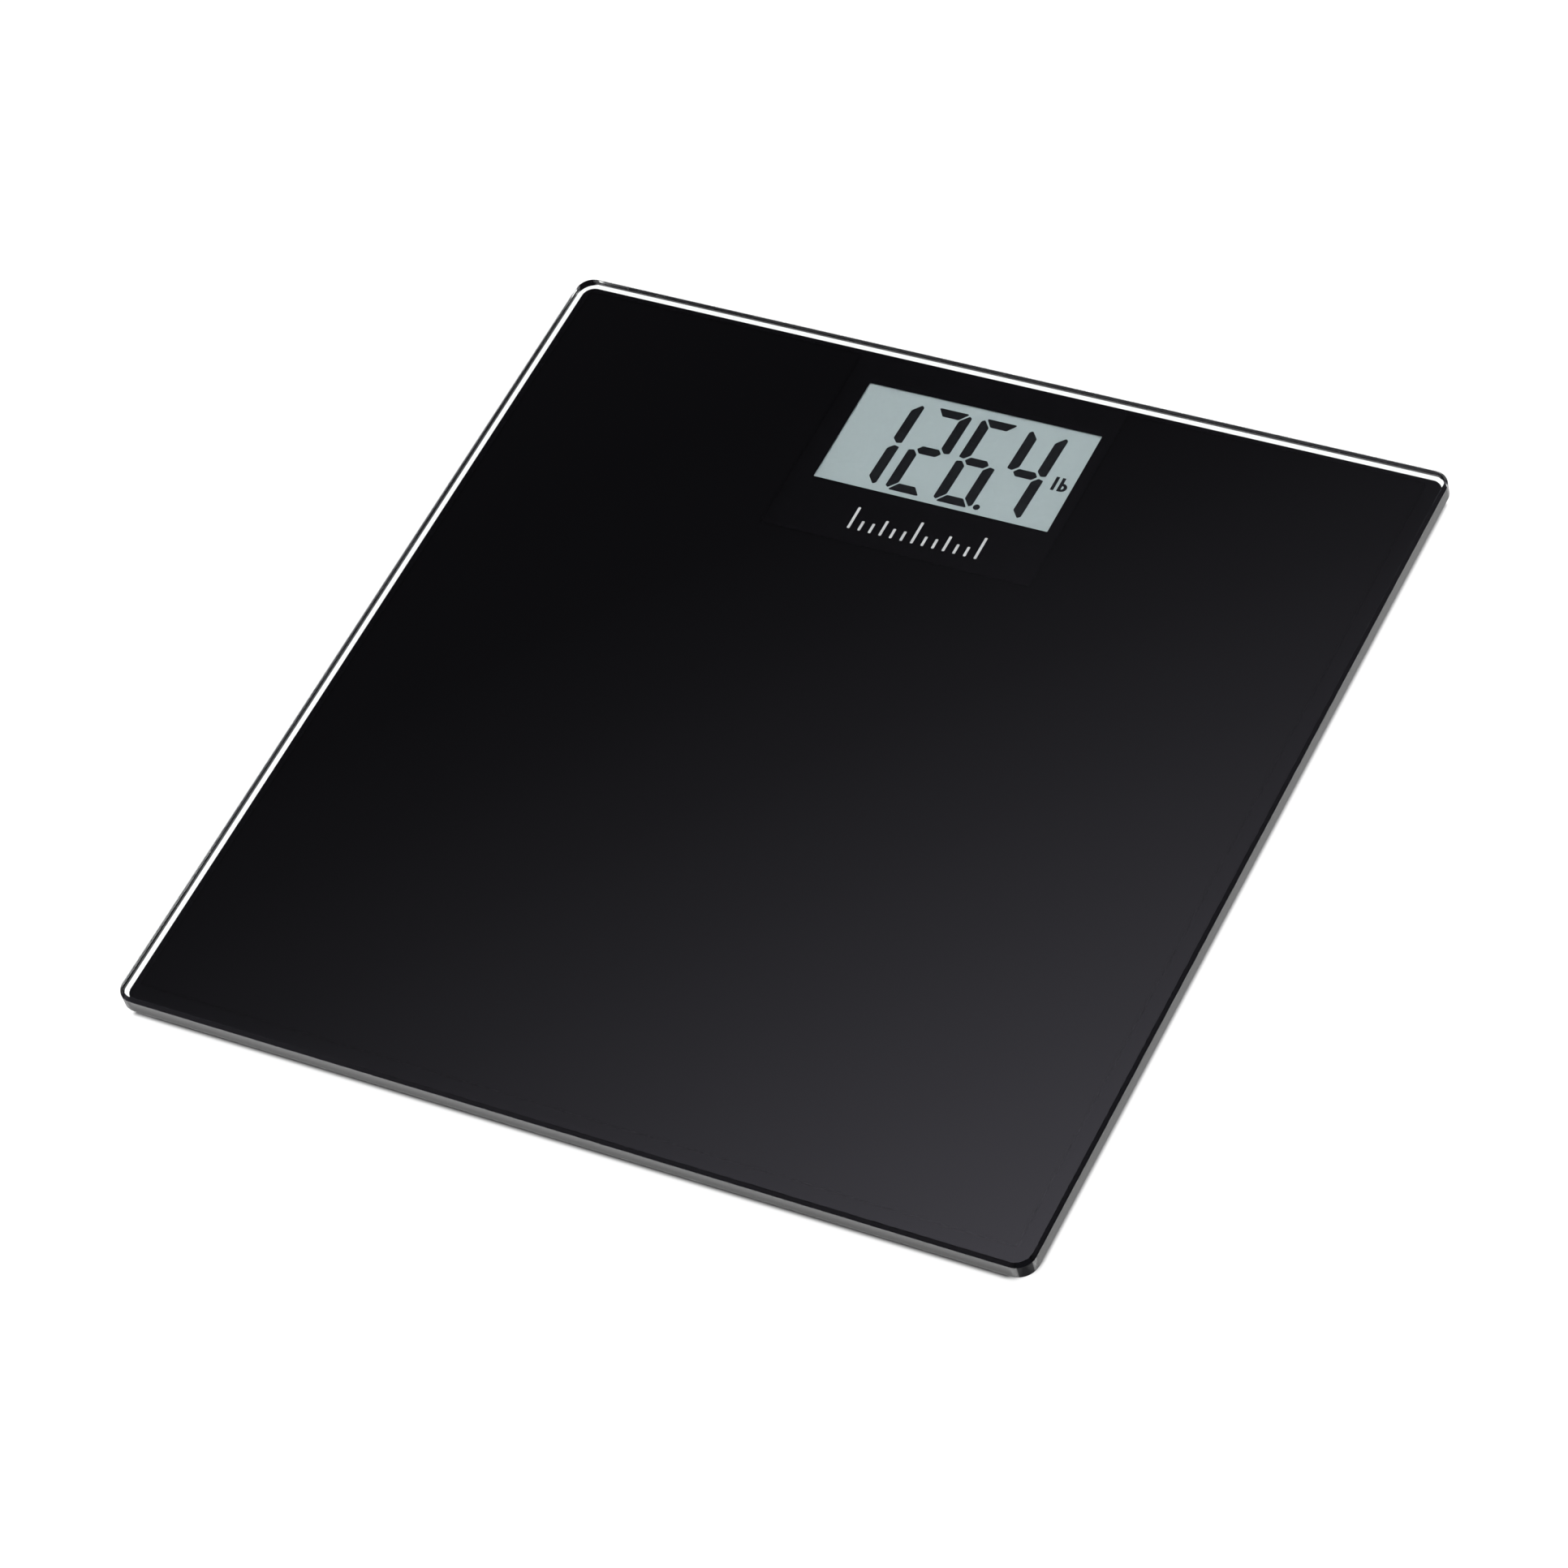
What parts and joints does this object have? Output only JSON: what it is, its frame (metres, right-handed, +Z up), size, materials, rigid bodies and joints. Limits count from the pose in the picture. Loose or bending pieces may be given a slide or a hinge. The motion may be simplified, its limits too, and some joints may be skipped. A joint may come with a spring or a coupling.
{
  "type": "digital bathroom scale",
  "caption": "Square black glass platform scale with a liquid-crystal display near the back edge, corner feet on load cells and an electronics housing underneath.",
  "frame": {"origin": "on the floor under the middle of the platform", "axes": "+X to the right of a person reading the display, +Y towards the display edge, +Z up"},
  "size_m": [0.3, 0.3, 0.02],
  "materials": {
    "platform_glass": "clear tempered plate, ground edge",
    "black_enamel": "gloss black enamel seen through the glass",
    "foam_tape": "black foam adhesive",
    "housing_plastic": "fine moulded grain",
    "pod_plastic": "fine moulded grain",
    "foot_plastic": "fine moulded grain",
    "rubber_pad": "soft matt rubber",
    "silicone": "translucent white silicone",
    "spring_steel": "stamped and nickel plated",
    "gauge_sealant": "white sealant bead",
    "screw_steel": "zinc plated",
    "gasket_foam": "pale grey foam",
    "lcd_face": "grey-green reflective display face",
    "lcd_ink": "dark display segments",
    "display_glass": "thin display glass",
    "lcd_reflector": "satin reflector film",
    "holder_plastic": "moulded",
    "elastomer": "layered elastomer",
    "board_laminate": "green solder resist",
    "chip_resin": "black resin",
    "component_body": "chip components",
    "button_plastic": "grey moulded",
    "coin_cell_steel": "stainless can",
    "contact_bronze": "plated spring bronze",
    "lead_insulation": "PVC insulation",
    "tape_film": "black PVC tape",
    "white_mark": "white print under the glass"
  },
  "bodies": {
    "platform": {"battery_contact_negative": "contact_bronze", "battery_contact_positive": "contact_bronze", "black_print": "black_enamel", "board_parts": "component_body", "board_screws": "screw_steel", "coin_cell": "coin_cell_steel", "controller_chip": "chip_resin", "cushion_back_left": "silicone", "cushion_back_right": "silicone", "cushion_front_left": "silicone", "cushion_front_right": "silicone", "glass_platform": "platform_glass", "housing_cover": "housing_plastic", "housing_frame": "housing_plastic", "housing_screws": "screw_steel", "housing_tape": "foam_tape", "lcd_front_glass": "display_glass", "lcd_front_polarizer": "lcd_face", "lcd_gasket": "gasket_foam", "lcd_holder": "holder_plastic", "lcd_rear_glass": "display_glass", "lcd_reflector": "lcd_reflector", "lead_back_left": "lead_insulation", "lead_back_right": "lead_insulation", "lead_front_left": "lead_insulation", "lead_front_right": "lead_insulation", "lead_tapes": "tape_film", "main_board": "board_laminate", "pod_base_back_left": "pod_plastic", "pod_base_back_right": "pod_plastic", "pod_base_front_left": "pod_plastic", "pod_base_front_right": "pod_plastic", "pod_tapes": "foam_tape", "switch_body": "holder_plastic", "zebra_strip": "elastomer"},
    "foot_front_left": {"foot_front_left": "foot_plastic", "foot_pad_front_left": "rubber_pad", "load_cell_front_left": "spring_steel", "strain_gauge_front_left": "gauge_sealant"},
    "foot_front_right": {"foot_front_right": "foot_plastic", "foot_pad_front_right": "rubber_pad", "load_cell_front_right": "spring_steel", "strain_gauge_front_right": "gauge_sealant"},
    "foot_back_left": {"foot_back_left": "foot_plastic", "foot_pad_back_left": "rubber_pad", "load_cell_back_left": "spring_steel", "strain_gauge_back_left": "gauge_sealant"},
    "foot_back_right": {"foot_back_right": "foot_plastic", "foot_pad_back_right": "rubber_pad", "load_cell_back_right": "spring_steel", "strain_gauge_back_right": "gauge_sealant"},
    "battery_door": {"battery_door": "housing_plastic"},
    "unit_button": {"unit_button": "button_plastic", "switch_plunger": "button_plastic"}
  },
  "joints": [
    {"name": "foot_travel_front_left", "type": "slide", "parent": "platform", "child": "foot_front_left", "axis": [0, 0, 1], "range_m": [0, 0.0008], "stiffness_N_per_m": 12000, "springref_m": -0.0006, "deforming": ["cushion_front_left"]},
    {"name": "foot_travel_front_right", "type": "slide", "parent": "platform", "child": "foot_front_right", "axis": [0, 0, 1], "range_m": [0, 0.0008], "stiffness_N_per_m": 12000, "springref_m": -0.0006, "deforming": ["cushion_front_right"]},
    {"name": "foot_travel_back_left", "type": "slide", "parent": "platform", "child": "foot_back_left", "axis": [0, 0, 1], "range_m": [0, 0.0008], "stiffness_N_per_m": 12000, "springref_m": -0.0006, "deforming": ["cushion_back_left"]},
    {"name": "foot_travel_back_right", "type": "slide", "parent": "platform", "child": "foot_back_right", "axis": [0, 0, 1], "range_m": [0, 0.0008], "stiffness_N_per_m": 12000, "springref_m": -0.0006, "deforming": ["cushion_back_right"]},
    {"name": "battery_door_hinge", "type": "hinge", "parent": "platform", "child": "battery_door", "pos_m": [0.0632, 0.1041, 0.0036], "axis": [-1, 0, 0], "range_deg": [0, 100]},
    {"name": "unit_button_push", "type": "slide", "parent": "platform", "child": "unit_button", "axis": [0, 0, 1], "range_m": [0, 0.0004], "stiffness_N_per_m": 2500, "springref_m": -0.0001}
  ]
}
